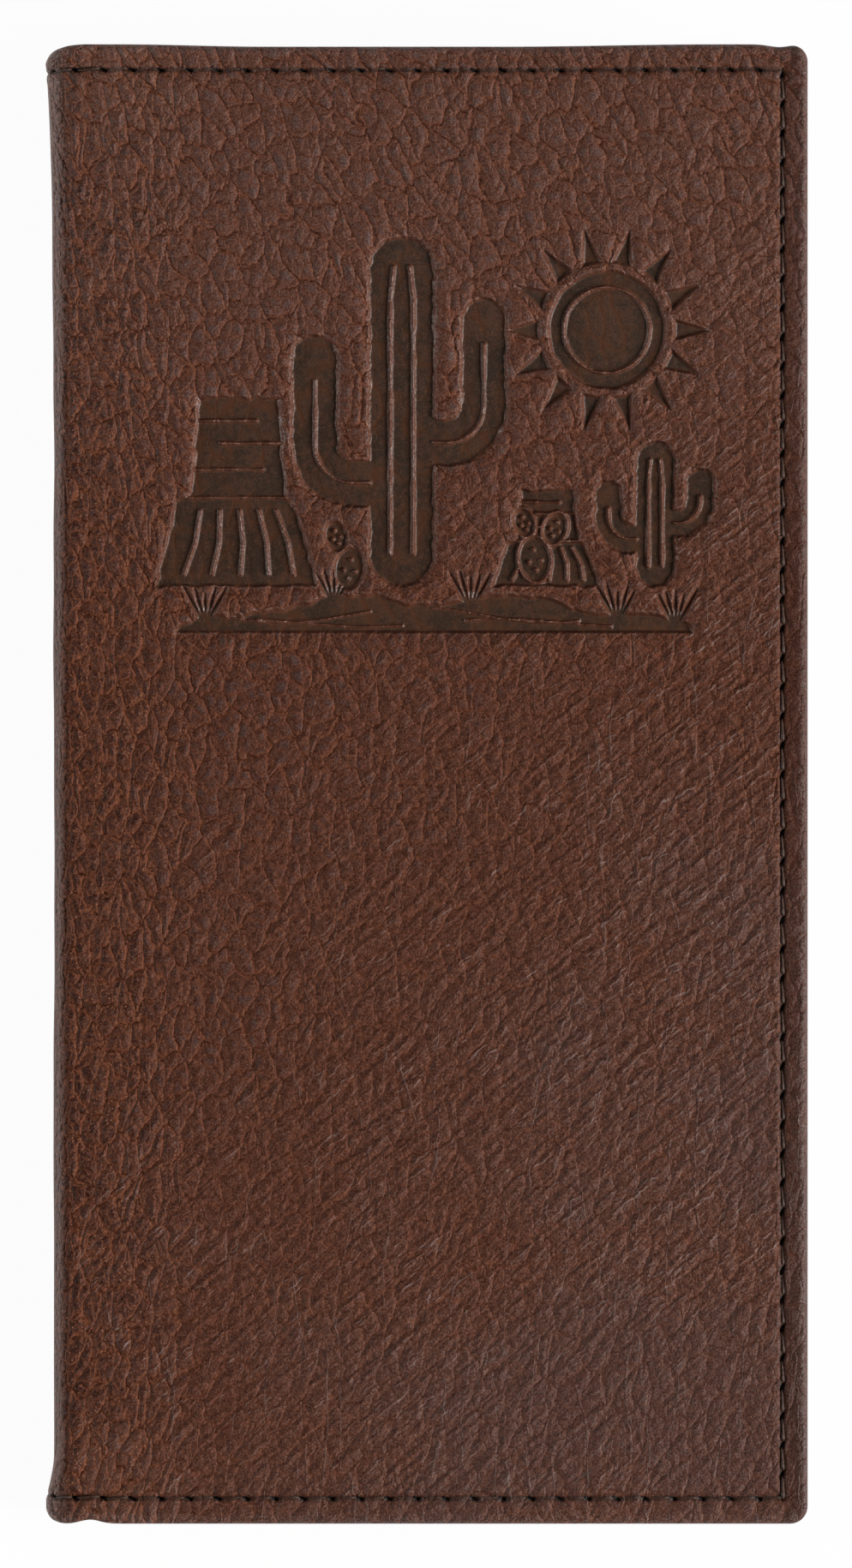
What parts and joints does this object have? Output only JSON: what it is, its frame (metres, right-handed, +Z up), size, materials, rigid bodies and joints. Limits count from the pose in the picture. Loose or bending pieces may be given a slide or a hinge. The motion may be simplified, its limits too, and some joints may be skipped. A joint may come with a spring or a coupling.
{
  "type": "roper wallet",
  "caption": "Tall brown leather book-fold wallet with a stitched turned edge, a pressed desert picture, long pockets, stepped card slots and a clear card window.",
  "frame": {"origin": "middle of the face that the closed wallet rests on, the outer face of its back cover", "axes": "+Z up through the thickness to the front cover, +Y along the length to the top edge, -X at the spine"},
  "size_m": [0.095, 0.1842, 0.0178],
  "materials": {
    "cover_leather": "dark brown pull-up leather with rust-coloured crackle, full grain",
    "pocket_leather": "thin dark brown leather, fine grain, creased and turned edges",
    "fibre_board": "pressed fibre board and paper tape, matt, hidden inside",
    "lining_fabric": "dark brown twill lining",
    "clear_vinyl": "clear flexible vinyl sheet",
    "thread": "waxed near-black brown thread"
  },
  "bodies": {
    "back_half": {"back_cover": "cover_leather", "back_board": "fibre_board", "back_lining": "lining_fabric", "checkbook_pocket_panel": "pocket_leather", "back_card_slot_1": "pocket_leather", "back_card_slot_2": "pocket_leather", "back_card_slot_3": "pocket_leather", "id_window_sheet": "clear_vinyl", "id_window_frame": "pocket_leather", "back_seam_thread": "thread"},
    "spine": {"spine_cover": "cover_leather", "spine_tape": "fibre_board", "spine_lining": "lining_fabric", "spine_top_thread": "thread", "spine_bottom_thread": "thread"},
    "front_half": {"front_cover": "cover_leather", "front_board": "fibre_board", "front_lining": "lining_fabric", "bill_pocket_panel": "pocket_leather", "front_card_slot_1": "pocket_leather", "front_card_slot_2": "pocket_leather", "front_card_slot_3": "pocket_leather", "front_card_slot_4": "pocket_leather", "front_card_slot_5": "pocket_leather", "front_card_slot_6": "pocket_leather", "front_seam_thread": "thread"}
  },
  "joints": [
    {"name": "back_fold", "type": "hinge", "parent": "back_half", "child": "spine", "pos_m": [-0.04675, 0, 0.00075], "axis": [0, -1, 0], "range_deg": [0, 90]},
    {"name": "front_fold", "type": "hinge", "parent": "spine", "child": "front_half", "pos_m": [-0.04675, 0, 0.01705], "axis": [0, -1, 0], "range_deg": [0, 90]}
  ],
  "couplings": [
    {"joint": "front_fold", "follows": "back_fold", "ratio": 1}
  ]
}
